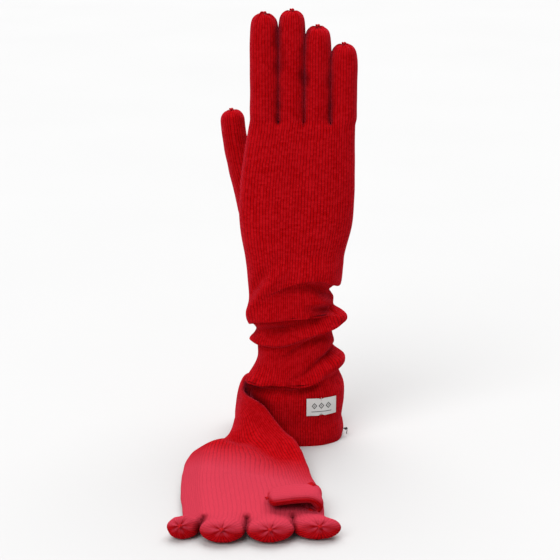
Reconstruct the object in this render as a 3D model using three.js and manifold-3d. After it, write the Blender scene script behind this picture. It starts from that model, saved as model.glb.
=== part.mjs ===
// A pair of long knitted wool gloves, in millimetres, +Z up.
// The right glove stands on its hem, filled out as if worn, with its long sleeve slouched into folds.
// The left glove is empty: its sleeve stands on edge round the left side of the right one and its
// hand lies palm up in front, fingers towards -Y and thumb folded across the palm.
// Every digit, hand and sleeve piece is a hollow shell of knitted fabric, open where the next begins.
import * as THREE from 'three';
import Module from 'manifold-3d';
import { mergeVertices } from 'three/addons/utils/BufferGeometryUtils.js';

const wasm = await Module();
wasm.setup();

// Fabric and clearances
const WALL = 1.6; // one layer of knitted fabric
const HEM_WALL = 2.6; // the hem is turned up, so it is two layers
const GAP = 0.4; // air between pieces that meet
const OVERSHOOT = 2; // how far a cutting tool runs past an open end
const SQUARENESS = 2.5; // exponent of the rounded sections: 2 is an ellipse, more is boxier
const ROOT_ROUNDING = [0.6, 0.3]; // shares of its half depth that a rounded root reaches past its hinge
const DIGIT_SIDES = 12;
const BODY_SIDES = 32;

// Right glove: heights above the table
const HEM_HEIGHT = 16;
const SLEEVE_HALF_WIDTH = 35.6;
const SLEEVE_HALF_DEPTH = 26.6;
const BAND_TOP = 42; // where the lowest fold tucks in
const LOWER_FOLD_TOP = 80;
const UPPER_FOLD_TOP = 118; // rim that the wrist turns in
const TUCK_HALF_WIDTH = 27.5; // a fold's hidden inner tube, which slides inside the next fold
const TUCK_HALF_DEPTH = 19.5;
const TUCK_RISE = 29;
const WRIST_Z = 133;
const WRIST_HALF_DEPTH = 23;
const KNUCKLE_Z = 250; // one hinge line for the four fingers
const FINGER_HALF_DEPTH = 9.4;
const HAND_TOP = 244;
const THUMB_HINGE = new THREE.Vector3(-37.5, 23, 187);
const THUMB_TIP = new THREE.Vector3(-48.5, 27, 244);
const THUMB_RADIUS = 9;

// Label and threads, on the front of the sleeve
const LABEL_LEFT = 6.6;
const LABEL_RIGHT = 28.6;
const LABEL_BOTTOM = 24.7;
const LABEL_HEIGHT = 13.5;
const LABEL_THICKNESS = 0.7;
const LABEL_OFFSET = 0.7; // air between the sleeve and the label
const TACK_RADIUS = 0.45;
const TACK_LENGTH = 1.8;
const KNOT = new THREE.Vector3(37.8, -6, 6.4);
const KNOT_RADIUS = 1.2;
const TAIL_RADIUS = 0.4;
const TAIL_LENGTH = 3;

// Left glove
const FLAT_HALF_DEPTH = 6; // half the thickness of the empty hand
const LEFT_WRIST_Y = -50;
const LEFT_KNUCKLE_Y = -164;
const LEFT_HAND_END = -157; // just clear of the fingers' rounded roots
const LEFT_THUMB_HINGE = new THREE.Vector3(12, -141, 18);
const LEFT_THUMB_LENGTH = 40;
const LEFT_THUMB_HALF_WIDTH = 14.6;
const LEFT_THUMB_HALF_DEPTH = 5.2;
const LEFT_FINGER_RISE = 4.5; // the empty fingers curl up towards their tips
const LEFT_SLEEVE_END = 13; // x of the sleeve's end, behind the right glove
const LEFT_SLEEVE_LIFT = 0.3; // air between the sleeve standing on edge and the table

const RIGHT_FINGERS = [
  { name: 'index', x: -23.8, lean: -0.9, halfWidth: 9.3, tip: 318 },
  { name: 'middle', x: -5, lean: 1.6, halfWidth: 8.5, tip: 320 },
  { name: 'ring', x: 13.9, lean: 0.6, halfWidth: 9.4, tip: 309 },
  { name: 'little', x: 33.1, lean: -0.2, halfWidth: 8.9, tip: 296.5 },
];
const LEFT_FINGERS = [
  { name: 'index', x: 8, tipX: 12, rootHalf: 11.4, tipHalf: 15.4, length: 34 },
  { name: 'middle', x: -19.2, tipX: -19.4, rootHalf: 14, tipHalf: 14.4, length: 37 },
  { name: 'ring', x: -49, tipX: -49.1, rootHalf: 13.9, tipHalf: 14.2, length: 36 },
  { name: 'little', x: -71.6, tipX: -75.4, rootHalf: 7.4, tipHalf: 11.2, length: 32 },
];

const WOOL = { color: '#b31323', roughness: 0.95, metalness: 0 };
const YARN = { color: '#8f0d1b', roughness: 0.95, metalness: 0 };
const SATIN = { color: '#c8c8c2', roughness: 0.5, metalness: 0 };
const DARK_THREAD = { color: '#1a1718', roughness: 0.8, metalness: 0 };

const X = new THREE.Vector3(1, 0, 0);
const Y = new THREE.Vector3(0, 1, 0);
const Z = new THREE.Vector3(0, 0, 1);

const gloves = new THREE.Group();

// ---------------------------------------------------------------- shells

// A rounded section: centre, width direction, depth direction and the two half sizes.
function section(centre, across, through, halfWidth, halfDepth) {
  return { centre, across, through, halfWidth, halfDepth };
}

// A level section of an upright tube.
function level(z, x, y, halfWidth, halfDepth) {
  return section(new THREE.Vector3(x, y, z), X, Y, halfWidth, halfDepth);
}

// The section's outline. A side, not a corner, faces each way, so a tube has flat strips to rest on.
function outline(s, sides) {
  const power = 2 / SQUARENESS;
  const full = Math.cos(Math.PI / sides) ** power;
  const points = [];
  for (let i = 0; i < sides; i += 1) {
    const angle = ((i + 0.5) / sides) * Math.PI * 2;
    const c = Math.cos(angle);
    const d = Math.sin(angle);
    const w = (s.halfWidth * Math.sign(c) * Math.abs(c) ** power) / full;
    const t = (s.halfDepth * Math.sign(d) * Math.abs(d) ** power) / full;
    points.push(s.centre.clone().addScaledVector(s.across, w).addScaledVector(s.through, t));
  }
  return points;
}

// A closed solid through a list of sections.
function loft(sections, sides) {
  const positions = [];
  const index = [];
  for (const s of sections) {
    for (const p of outline(s, sides)) positions.push(p.x, p.y, p.z);
  }
  const last = (sections.length - 1) * sides;
  for (let i = 1; i < sides - 1; i += 1) {
    index.push(0, i + 1, i);
    index.push(last, last + i, last + i + 1);
  }
  for (let ring = 0; ring < last; ring += sides) {
    for (let i = 0; i < sides; i += 1) {
      const j = (i + 1) % sides;
      index.push(ring + i, ring + j, ring + sides + j);
      index.push(ring + i, ring + sides + j, ring + sides + i);
    }
  }
  return solidOf(positions, index);
}

function signedVolume(positions, index) {
  const at = (i) => new THREE.Vector3().fromArray(positions, index[i] * 3);
  let volume = 0;
  for (let i = 0; i < index.length; i += 3) {
    volume += at(i).dot(at(i + 1).cross(at(i + 2)));
  }
  return volume;
}

function solidOf(positions, index) {
  const outward = signedVolume(positions, index) > 0;
  const triangles = outward ? index : index.slice().reverse();
  return new wasm.Manifold(new wasm.Mesh({
    numProp: 3,
    vertProperties: new Float32Array(positions),
    triVerts: new Uint32Array(triangles),
  }));
}

// A three.js geometry, moved into place, as a solid.
function solidFrom(geometry, matrix) {
  geometry.applyMatrix4(matrix);
  geometry.deleteAttribute('normal');
  geometry.deleteAttribute('uv');
  const merged = mergeVertices(geometry, 1e-4);
  return solidOf(Array.from(merged.attributes.position.array), Array.from(merged.index.array));
}

function thinner(s, wall) {
  return section(s.centre, s.across, s.through, s.halfWidth - wall, s.halfDepth - wall);
}

// The space inside a tube, run out past each end that is open.
function cavity(sections, wall, sides, openStart, openEnd) {
  const inner = sections.map((s) => thinner(s, wall)).filter((s) => s.halfDepth > WALL / 2);
  if (openStart) inner.unshift(beyond(inner[0], inner[1]));
  if (openEnd) inner.push(beyond(inner[inner.length - 1], inner[inner.length - 2]));
  return loft(inner, sides);
}

function beyond(end, before) {
  const along = end.centre.clone().sub(before.centre).setLength(OVERSHOOT);
  return section(end.centre.clone().add(along), end.across, end.through, end.halfWidth, end.halfDepth);
}

// An open-ended fabric tube; a tube closed at its far end is a digit.
function shell(sections, wall, sides, openEnd = true) {
  return loft(sections, sides).subtract(cavity(sections, wall, sides, true, openEnd));
}

function add(name, solid, finish) {
  const mesh = solid.getMesh();
  const geometry = new THREE.BufferGeometry();
  geometry.setAttribute('position', new THREE.BufferAttribute(mesh.vertProperties, 3));
  geometry.setIndex(new THREE.BufferAttribute(mesh.triVerts, 1));
  geometry.computeVertexNormals();
  const node = new THREE.Mesh(geometry, new THREE.MeshStandardMaterial(finish));
  node.name = name;
  gloves.add(node);
}

// ---------------------------------------------------------------- digits

// Stations of a digit along a straight or bent middle line. The root is rounded about the hinge so
// that it turns in its hollow in the hand, and the tip is a dome.
function digitSections(place, across, through, halfWidthAt, halfDepth, length) {
  const sections = [];
  for (const back of ROOT_ROUNDING) {
    const depth = halfDepth * Math.sqrt(1 - back * back);
    sections.push(section(place(-back * halfDepth), across, through, halfWidthAt(0), depth));
  }
  const straight = length - halfDepth;
  for (const share of [0, 0.25, 0.6, 1]) {
    sections.push(section(place(share * straight), across, through, halfWidthAt(share), halfDepth));
  }
  for (const up of [0.5, 0.8, 0.96]) {
    const round = Math.sqrt(1 - up * up);
    const s = straight + up * halfDepth;
    sections.push(section(place(s), across, through, halfWidthAt(1) * round, halfDepth * round));
  }
  return sections;
}

// The closing yarn drawn tight over a fingertip: a small flattened knot just off the fabric.
function tipGather(name, tip, along, radius) {
  const height = radius * 0.45;
  const turn = new THREE.Quaternion().setFromUnitVectors(Z, along);
  const centre = tip.clone().addScaledVector(along, height + GAP);
  const size = new THREE.Vector3(radius, radius, height);
  const matrix = new THREE.Matrix4().compose(centre, turn, size);
  add(name, solidFrom(new THREE.SphereGeometry(1, 10, 6), matrix), YARN);
}

function rightFinger({ name, x, lean, halfWidth, tip }) {
  const length = tip - KNUCKLE_Z;
  const place = (s) => new THREE.Vector3(x + (lean * Math.max(s, 0)) / length, 0, KNUCKLE_Z + s);
  const width = (share) => halfWidth * (1 - 0.05 * share);
  const sections = digitSections(place, X, Y, width, FINGER_HALF_DEPTH, length);
  add(`right_${name}_finger`, shell(sections, WALL, DIGIT_SIDES, false), WOOL);
  tipGather(`right_${name}_tip_gather`, place(length), Z, 2.6);
}

function rightThumb() {
  const axis = THUMB_TIP.clone().sub(THUMB_HINGE);
  const length = axis.length();
  const along = axis.normalize();
  const through = Y.clone().addScaledVector(along, -Y.dot(along)).normalize();
  const across = through.clone().cross(along);
  const place = (s) => THUMB_HINGE.clone().addScaledVector(along, s);
  const width = (share) => THUMB_RADIUS * (1 - 0.06 * share);
  const sections = digitSections(place, through, across, width, THUMB_RADIUS, length);
  add('right_thumb', shell(sections, WALL, DIGIT_SIDES, false), WOOL);
  tipGather('right_thumb_tip_gather', place(length), along, 2.4);
}

// An empty finger: flat, fuller towards its tip and bent gently upwards.
function leftFinger({ name, x, tipX, rootHalf, tipHalf, length }) {
  const place = (s) => {
    const share = Math.max(s, 0) / length;
    const z = FLAT_HALF_DEPTH + LEFT_FINGER_RISE * share * share;
    return new THREE.Vector3(x + (tipX - x) * share, LEFT_KNUCKLE_Y - s, z);
  };
  const width = (share) => rootHalf + (tipHalf - rootHalf) * Math.min(1, share * 1.25);
  const sections = digitSections(place, X, Z, width, FLAT_HALF_DEPTH, length);
  add(`left_${name}_finger`, shell(sections, WALL, DIGIT_SIDES, false), WOOL);
  const end = place(length).addScaledVector(Y, -GAP);
  tipGather(`left_${name}_tip_gather`, end, Y.clone().negate(), 3);
}

// The empty thumb lies across the palm; its root turns at the palm's edge.
function leftThumb() {
  const place = (s) => LEFT_THUMB_HINGE.clone().addScaledVector(X, -s);
  const width = (share) => LEFT_THUMB_HALF_WIDTH - 1.2 * share;
  const sections = digitSections(place, Y, Z, width, LEFT_THUMB_HALF_DEPTH, LEFT_THUMB_LENGTH);
  add('left_thumb', shell(sections, WALL, DIGIT_SIDES, false), WOOL);
  tipGather('left_thumb_tip_gather', place(LEFT_THUMB_LENGTH), X.clone().negate(), 2.4);
}

// ---------------------------------------------------------------- hands

// A cylinder about a hinge line: what a rounded root sweeps, cut from the piece it turns in.
function hingeBarrel(centre, axis, radius, length) {
  const turn = new THREE.Quaternion().setFromUnitVectors(Y, axis);
  const matrix = new THREE.Matrix4().compose(centre, turn, new THREE.Vector3(1, 1, 1));
  return solidFrom(new THREE.CylinderGeometry(radius, radius, length, 40), matrix);
}

function rightHand() {
  const bowl = [0.8, 0.5].map((back) => {
    const depth = WRIST_HALF_DEPTH * Math.sqrt(1 - back * back);
    return level(WRIST_Z - back * WRIST_HALF_DEPTH, -2, 0, 33 - 7 * back, depth);
  });
  const sections = [
    ...bowl,
    level(WRIST_Z, -2.5, 0, 34.8, WRIST_HALF_DEPTH),
    level(150, -1.7, 0, 39, 21.5),
    level(166, -1, 0, 42, 19.8),
    level(190, -0.2, 0, 42.2, 17.5),
    level(215, 1.1, 0, 40.4, 15.2),
    level(236, 2.6, 0, 38.2, 12.8),
    level(HAND_TOP, 3.6, 0, 37.2, 11.6),
  ];
  const inside = cavity(sections.slice(0, -1), WALL, BODY_SIDES, true, false);
  const stub = thumbStub();
  let hand = loft(sections, BODY_SIDES).add(stub.outer).subtract(inside).subtract(stub.inner);
  hand = hand.subtract(thumbHollow());
  for (const { x, halfWidth } of RIGHT_FINGERS) {
    const inner = FINGER_HALF_DEPTH - WALL;
    const passage = [220, 260].map((z) => level(z, x, 0, halfWidth - WALL, inner - 1));
    hand = hand.subtract(loft(passage, DIGIT_SIDES));
  }
  const knuckles = new THREE.Vector3(0, 0, KNUCKLE_Z);
  hand = hand.subtract(hingeBarrel(knuckles, X, FINGER_HALF_DEPTH + GAP, 120));
  hand = hand.subtract(palmRelief());
  add('right_hand', hand, WOOL);
}

// The palm's edge is cut down so that a finger can fold forward over it.
function palmRelief() {
  const bottom = KNUCKLE_Z - FINGER_HALF_DEPTH - GAP;
  const block = new THREE.BoxGeometry(120, 40, 40);
  return solidFrom(block, new THREE.Matrix4().makeTranslation(0, 20, bottom + 20));
}

// The thumb's root in the side of the hand, ending in a hollow that the thumb turns in.
function thumbStub() {
  const root = new THREE.Vector3(-28, 7, 160);
  const along = THUMB_TIP.clone().sub(THUMB_HINGE).normalize();
  const through = Y.clone().addScaledVector(along, -Y.dot(along)).normalize();
  const across = through.clone().cross(along);
  const ring = (centre, radius) => section(centre, through, across, radius, radius);
  const outer = [ring(root, THUMB_RADIUS + 1), ring(THUMB_HINGE, THUMB_RADIUS)];
  const inner = [ring(root, THUMB_RADIUS - 1), ring(THUMB_HINGE, THUMB_RADIUS - WALL)];
  inner.push(beyond(inner[1], inner[0]));
  return { outer: loft(outer, DIGIT_SIDES), inner: loft(inner, DIGIT_SIDES) };
}

// The round hollow on the palm side that the thumb's root turns in.
function thumbHollow() {
  const depth = 40;
  const start = THUMB_HINGE.y - THUMB_RADIUS - GAP;
  const centre = new THREE.Vector3(THUMB_HINGE.x, start + depth / 2, THUMB_HINGE.z);
  return hingeBarrel(centre, Y, THUMB_RADIUS + 2 * GAP, depth);
}

function flat(y, x, halfWidth, halfDepth = FLAT_HALF_DEPTH) {
  return section(new THREE.Vector3(x, y, FLAT_HALF_DEPTH), X, Z, halfWidth, halfDepth);
}

function leftHand() {
  const root = ROOT_ROUNDING.map((back) => {
    const depth = FLAT_HALF_DEPTH * Math.sqrt(1 - back * back);
    return flat(LEFT_WRIST_Y + back * FLAT_HALF_DEPTH, -33, 34, depth);
  });
  const sections = [
    ...root,
    flat(LEFT_WRIST_Y, -33.5, 35),
    flat(-70, -35, 42),
    flat(-94, -35, 46),
    flat(-122, -32, 47.8),
    flat(-148, -30, 48.6),
    flat(LEFT_HAND_END, -29.8, 48.8, 5),
  ];
  const inside = cavity(sections.slice(0, -1), WALL, BODY_SIDES, true, false);
  let hand = loft(sections, BODY_SIDES).subtract(inside);
  for (const { x, rootHalf } of LEFT_FINGERS) {
    const passage = [-141, -171].map((y) => flat(y, x, rootHalf - 2 * WALL, 3.4));
    hand = hand.subtract(loft(passage, DIGIT_SIDES));
  }
  const slot = [LEFT_THUMB_HINGE.x - 12, LEFT_THUMB_HINGE.x + 10].map((x) => {
    const centre = new THREE.Vector3(x, LEFT_THUMB_HINGE.y, FLAT_HALF_DEPTH);
    return section(centre, Y, Z, 10, FLAT_HALF_DEPTH / 2);
  });
  hand = hand.subtract(loft(slot, DIGIT_SIDES));
  add('left_hand', hand, WOOL);
}

// ---------------------------------------------------------------- right sleeve

function rightHem() {
  const sections = [
    level(0, 0, 0, SLEEVE_HALF_WIDTH - 0.6, SLEEVE_HALF_DEPTH - 0.6),
    level(1.5, 0, 0, SLEEVE_HALF_WIDTH + 0.4, SLEEVE_HALF_DEPTH + 0.4),
    level(HEM_HEIGHT, 0, 0, SLEEVE_HALF_WIDTH, SLEEVE_HALF_DEPTH),
  ];
  add('right_hem', shell(sections, HEM_WALL, BODY_SIDES), WOOL);
}

// Each fold is a full skirt, drawn in at the top to a tube that is tucked up inside the next fold.
function tuck(bottom, top) {
  return [bottom, top].map((z) => level(z, 0, 0, TUCK_HALF_WIDTH, TUCK_HALF_DEPTH));
}

function rightSleeveBand() {
  const sections = [
    level(HEM_HEIGHT + GAP, 0, 0, SLEEVE_HALF_WIDTH, SLEEVE_HALF_DEPTH),
    level(BAND_TOP - 4, 0, 0, SLEEVE_HALF_WIDTH, SLEEVE_HALF_DEPTH),
    ...tuck(BAND_TOP, BAND_TOP + TUCK_RISE),
  ];
  add('right_sleeve_band', shell(sections, WALL, BODY_SIDES), WOOL);
}

function rightLowerFold() {
  const sections = [
    level(BAND_TOP + GAP, 0, 0, 34.4, 25.6),
    level(50, 0.2, 0, 35.6, 26.6),
    level(63, 2.5, 0, 33.2, 25),
    level(75, -2.5, 0, 34.6, 26),
    ...tuck(LOWER_FOLD_TOP, LOWER_FOLD_TOP + TUCK_RISE - 3),
  ];
  add('right_sleeve_lower_fold', shell(sections, WALL, BODY_SIDES), WOOL);
}

function rightUpperFold() {
  const sections = [
    level(LOWER_FOLD_TOP + GAP, -1, 0, 33.6, 25),
    level(90, 0.4, 0, 37, 27.2),
    level(100, -3, 0, 34.8, 26),
    level(112, -3.6, 0, 34.4, 23.6),
    level(UPPER_FOLD_TOP, -2, 0, 34, 20.6),
  ];
  add('right_sleeve_upper_fold', shell(sections, WALL, BODY_SIDES), WOOL);
}

// ---------------------------------------------------------------- label and threads

// The sleeve's front surface at a distance x from its middle, moved outwards by offset.
function sleeveFront(x, offset) {
  const a = SLEEVE_HALF_WIDTH;
  const b = SLEEVE_HALF_DEPTH;
  const y = -b * (1 - (x / a) ** SQUARENESS) ** (1 / SQUARENESS);
  const power = SQUARENESS - 1;
  const normal = new THREE.Vector2((x / a) ** power / a, -((-y / b) ** power) / b).normalize();
  return new THREE.Vector2(x, y).addScaledVector(normal, offset);
}

// A woven label bent round the front of the sleeve.
function rightLabel() {
  const steps = 6;
  const near = [];
  const far = [];
  for (let i = 0; i <= steps; i += 1) {
    const x = LABEL_LEFT + ((LABEL_RIGHT - LABEL_LEFT) * i) / steps;
    near.push(sleeveFront(x, LABEL_OFFSET));
    far.unshift(sleeveFront(x, LABEL_OFFSET + LABEL_THICKNESS));
  }
  const shape = new THREE.Shape([...near, ...far]);
  const plate = new THREE.ExtrudeGeometry(shape, { depth: LABEL_HEIGHT, bevelEnabled: false });
  add('right_label', solidFrom(plate, new THREE.Matrix4().makeTranslation(0, 0, LABEL_BOTTOM)), SATIN);
}

// One tacking stitch over the middle of each long edge of the label.
function labelTack(name, z) {
  const middle = (LABEL_LEFT + LABEL_RIGHT) / 2;
  const spot = sleeveFront(middle, LABEL_OFFSET + LABEL_THICKNESS + GAP + 2 * TACK_RADIUS);
  const matrix = new THREE.Matrix4().makeRotationX(Math.PI / 2).setPosition(spot.x, spot.y, z);
  const stitch = new THREE.CapsuleGeometry(TACK_RADIUS, TACK_LENGTH, 3, 8);
  add(name, solidFrom(stitch, matrix), SATIN);
}

// The end of the hem's sewing thread: a knot with a short tail at the side seam.
function hemThread() {
  const knot = solidFrom(
    new THREE.SphereGeometry(KNOT_RADIUS, 8, 6),
    new THREE.Matrix4().makeTranslation(KNOT.x, KNOT.y, KNOT.z),
  );
  const tail = solidFrom(
    new THREE.CapsuleGeometry(TAIL_RADIUS, TAIL_LENGTH, 3, 8),
    new THREE.Matrix4().makeRotationX(Math.PI / 2).setPosition(KNOT.x + 0.3, KNOT.y, KNOT.z - 1.8),
  );
  add('right_hem_thread', knot.add(tail), DARK_THREAD);
}

// ---------------------------------------------------------------- left sleeve

// The empty sleeve runs back from the wrist, turns up on edge and passes round behind.
function ribbon(x, y, heading, roll, halfWidth, halfDepth) {
  const turn = THREE.MathUtils.degToRad(heading);
  const tip = THREE.MathUtils.degToRad(roll);
  const along = new THREE.Vector3(Math.sin(turn), Math.cos(turn), 0);
  const side = new THREE.Vector3(along.y, -along.x, 0);
  const across = side.clone().multiplyScalar(Math.cos(tip)).addScaledVector(Z, Math.sin(tip));
  const through = side.clone().multiplyScalar(-Math.sin(tip)).addScaledVector(Z, Math.cos(tip));
  const reach = SQUARENESS / (SQUARENESS - 1); // a rounded section's lowest point, however it is rolled
  const low = (halfWidth * Math.sin(tip)) ** reach + (halfDepth * Math.abs(Math.cos(tip))) ** reach;
  const rise = low ** (1 / reach);
  return section(new THREE.Vector3(x, y, rise + LEFT_SLEEVE_LIFT), across, through, halfWidth, halfDepth);
}

function leftSleeve() {
  const start = LEFT_WRIST_Y + FLAT_HALF_DEPTH + GAP + 0.6;
  const sections = [
    ribbon(-33, start, 0, 0, 34, FLAT_HALF_DEPTH),
    ribbon(-35, -34, 0, 22, 29, 6.4),
    ribbon(-40.8, -25, 0, 54, 22.5, 5.6),
    ribbon(-44, -14, 0, 73, 21, 5.2),
    ribbon(-44.8, -2, 0, 86, 20.5, 5.2),
    ribbon(-43.6, 14, 20, 90, 19, 5.4),
    ribbon(-33, 33, 58, 90, 18.5, 6.2),
    ribbon(-9, 42, 86, 90, 18, 7),
    ribbon(LEFT_SLEEVE_END, 42, 92, 90, 18.4, 7.2),
  ];
  add('left_sleeve', shell(sections, WALL, 20), WOOL);
}

function leftHem() {
  const sections = [
    ribbon(LEFT_SLEEVE_END + GAP, 42, 92, 90, 18.4, 7.4),
    ribbon(LEFT_SLEEVE_END + HEM_HEIGHT, 41.4, 92, 90, 18.6, 7.8),
  ];
  add('left_hem', shell(sections, HEM_WALL, 20), WOOL);
}

// ---------------------------------------------------------------- assembly

rightHem();
rightSleeveBand();
rightLowerFold();
rightUpperFold();
rightHand();
RIGHT_FINGERS.forEach(rightFinger);
rightThumb();
rightLabel();
labelTack('right_label_top_tack', LABEL_BOTTOM + LABEL_HEIGHT - 1);
labelTack('right_label_bottom_tack', LABEL_BOTTOM + 1);
hemThread();
leftSleeve();
leftHem();
leftHand();
LEFT_FINGERS.forEach(leftFinger);
leftThumb();

// The origin is the middle of the pair's footprint, on the table.
const box = new THREE.Box3().setFromObject(gloves);
const middle = box.getCenter(new THREE.Vector3());
gloves.position.set(-middle.x, -middle.y, -box.min.z);

export default gloves;
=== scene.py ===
import math
import bpy
import numpy as np
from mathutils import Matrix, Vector
from mathutils.bvhtree import BVHTree
from mathutils.kdtree import KDTree


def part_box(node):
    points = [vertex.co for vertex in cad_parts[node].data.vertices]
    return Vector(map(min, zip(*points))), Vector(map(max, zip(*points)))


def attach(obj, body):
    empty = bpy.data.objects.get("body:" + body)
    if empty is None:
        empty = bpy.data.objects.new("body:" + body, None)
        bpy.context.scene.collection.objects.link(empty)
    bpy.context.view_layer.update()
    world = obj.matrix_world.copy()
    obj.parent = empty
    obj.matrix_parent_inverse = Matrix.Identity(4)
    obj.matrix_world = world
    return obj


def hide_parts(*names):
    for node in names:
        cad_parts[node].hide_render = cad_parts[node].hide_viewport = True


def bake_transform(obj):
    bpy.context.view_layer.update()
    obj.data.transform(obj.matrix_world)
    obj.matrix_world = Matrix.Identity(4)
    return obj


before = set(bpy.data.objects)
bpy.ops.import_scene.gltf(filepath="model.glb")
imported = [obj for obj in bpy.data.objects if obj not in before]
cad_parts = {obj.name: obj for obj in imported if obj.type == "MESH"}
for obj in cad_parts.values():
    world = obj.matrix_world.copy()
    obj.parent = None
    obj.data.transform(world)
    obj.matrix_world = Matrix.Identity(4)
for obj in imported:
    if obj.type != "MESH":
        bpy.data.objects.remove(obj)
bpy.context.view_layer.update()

# Shapes are worked out in millimetres from the middle of the standing glove's hem, and
# moved into the row frame, in metres, when a mesh is made.
MM = 0.001
HEM_LOW, HEM_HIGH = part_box("right_hem")
BASE = np.array([(HEM_LOW.x + HEM_HIGH.x) / 2, (HEM_LOW.y + HEM_HIGH.y) / 2, 0.0])


def node_box(node):
    """Lowest and highest corner of a CAD node, in the working millimetres."""
    low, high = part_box(node)
    return (np.array(low) - BASE) / MM, (np.array(high) - BASE) / MM


def row_point(x, y, z):
    """A point given in the working millimetres, in the row frame."""
    return tuple(np.array([x, y, z]) * MM + BASE)


def placed(name, data):
    """A new object with that mesh, lamp or camera, in the scene."""
    obj = bpy.data.objects.new(name, data)
    bpy.context.scene.collection.objects.link(obj)
    return obj


HEM_TOP = node_box("right_hem")[1][2]

WALE = 2.0  # width of one column of stitches
COURSE = 1.5  # height of one row of stitches
DETAIL = 3  # times each cage face is halved
THICKNESS = 1.5  # of the knitted fabric
# the inside of the fabric gets a fixed amount of painted shade
LINING_SHADE = 0.6  # how shaded the inside of the fabric is, from 0 to 1
TABLE_GAP = 0.05  # between the empty glove's underside and the table
UP = np.array([0, 0, 1.0])
OUTSIDE = 999  # further out than any point of either glove

# ------------------------------------------------------------------ cage of a hand
#
# A hand is a tube of 36 columns: 17 across the front, one at the right side, 17 across the
# back and one at the left side. Every fourth column is a gap between two fingers, where the
# front and back meet in one crotch point, so a finger's root is a loop of 12 columns.

ACROSS = 16
PER_FINGER = 4
AROUND = 2 * (ACROSS + 1) + 2
RIGHT_SIDE = ACROSS + 1
LEFT_SIDE = AROUND - 1
COLUMN = 4.75  # fabric between two columns of the cage
SIDE_COLUMN = 6.0  # and between the last column of a face and the side
SQUARENESS = 2.5
FRONT_ANGLES = [(j - 2) * 27.0 for j in range(5)]
MOST_ACROSS = 0.96  # how near the side the outermost columns of a face may lie
TIP_POINT = 0.4  # how far a finger's last point stands beyond its last loop


def front(k):
    return k


def back(k):
    return AROUND - 2 - k


def fabric_around(column):
    """How far round the fabric a column lies, starting from the middle of the front."""
    if column <= ACROSS:
        return (column - ACROSS / 2) * COLUMN
    edge = ACROSS / 2 * COLUMN
    if column == RIGHT_SIDE:
        return edge + SIDE_COLUMN
    if column == LEFT_SIDE:
        return 3 * edge + 3 * SIDE_COLUMN
    return edge + 2 * SIDE_COLUMN + (column - RIGHT_SIDE - 1) * COLUMN


WHOLE_WAY = 4 * (ACROSS / 2 * COLUMN + SIDE_COLUMN)


def unit_ring(bounds):
    """The cage's columns on a rounded outline with half sizes of 1."""
    ring = np.zeros((AROUND, 2))
    for k in range(ACROSS + 1):
        finger, step = divmod(k, PER_FINGER)
        if finger == len(bounds) - 1:
            finger, step = finger - 1, PER_FINGER
        across = bounds[finger] + (bounds[finger + 1] - bounds[finger]) * step / PER_FINGER
        depth = (1 - abs(across) ** SQUARENESS) ** (1 / SQUARENESS)
        ring[front(k)] = across, -depth
        ring[back(k)] = across, depth
    ring[RIGHT_SIDE] = 1, 0
    ring[LEFT_SIDE] = -1, 0
    return ring


class Cage:
    """Vertices, faces and the fabric position of each face corner."""

    def __init__(self):
        self.points = []
        self.faces = []
        self.fabric = []

    def point(self, across, depth, along):
        self.points.append((across, depth, along))
        return len(self.points) - 1

    def face(self, corners, fabric):
        self.faces.append(corners)
        self.fabric.append(fabric)


def hand_cage(rows, crotches, fingers):
    """rows are (along, middle, half width, half depth); crotches are the along of the outer
    left edge, the three gaps and the outer right edge; fingers are their own rows, with tips."""
    cage = Cage()
    last = rows[-1]
    edges = [(edge - last[1]) / last[2] for edge in fingers["edges"]]
    edges[0], edges[-1] = max(edges[0], -MOST_ACROSS), min(edges[-1], MOST_ACROSS)
    unit = unit_ring(edges)
    rings = []
    for along, middle, half_width, half_depth in rows:
        ring = []
        for column in range(AROUND):
            across, depth = unit[column]
            ring.append(cage.point(middle + half_width * across, half_depth * depth, along))
        rings.append(ring)
    for low, high, row_low, row_high in zip(rings, rings[1:], rows, rows[1:]):
        for column in range(AROUND):
            after = (column + 1) % AROUND
            a, b = fabric_around(column), fabric_around(column + 1 if after else 0)
            if not after:
                b = WHOLE_WAY + fabric_around(0)
            corners = (low[column], low[after], high[after], high[column])
            v0, v1 = row_low[0], row_high[0]
            cage.face(corners, ((a, v0), (b, v0), (b, v1), (a, v1)))
    top = rings[-1]
    mids = [top[LEFT_SIDE]]
    for gap, edge in zip(crotches[1:-1], fingers["edges"][1:-1]):
        mids.append(cage.point(edge, 0.0, gap))
    mids.append(top[RIGHT_SIDE])
    for number, rows_up in enumerate(fingers["rows"]):
        add_finger(cage, number, top, mids, rows_up, last[0])
    return cage


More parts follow.
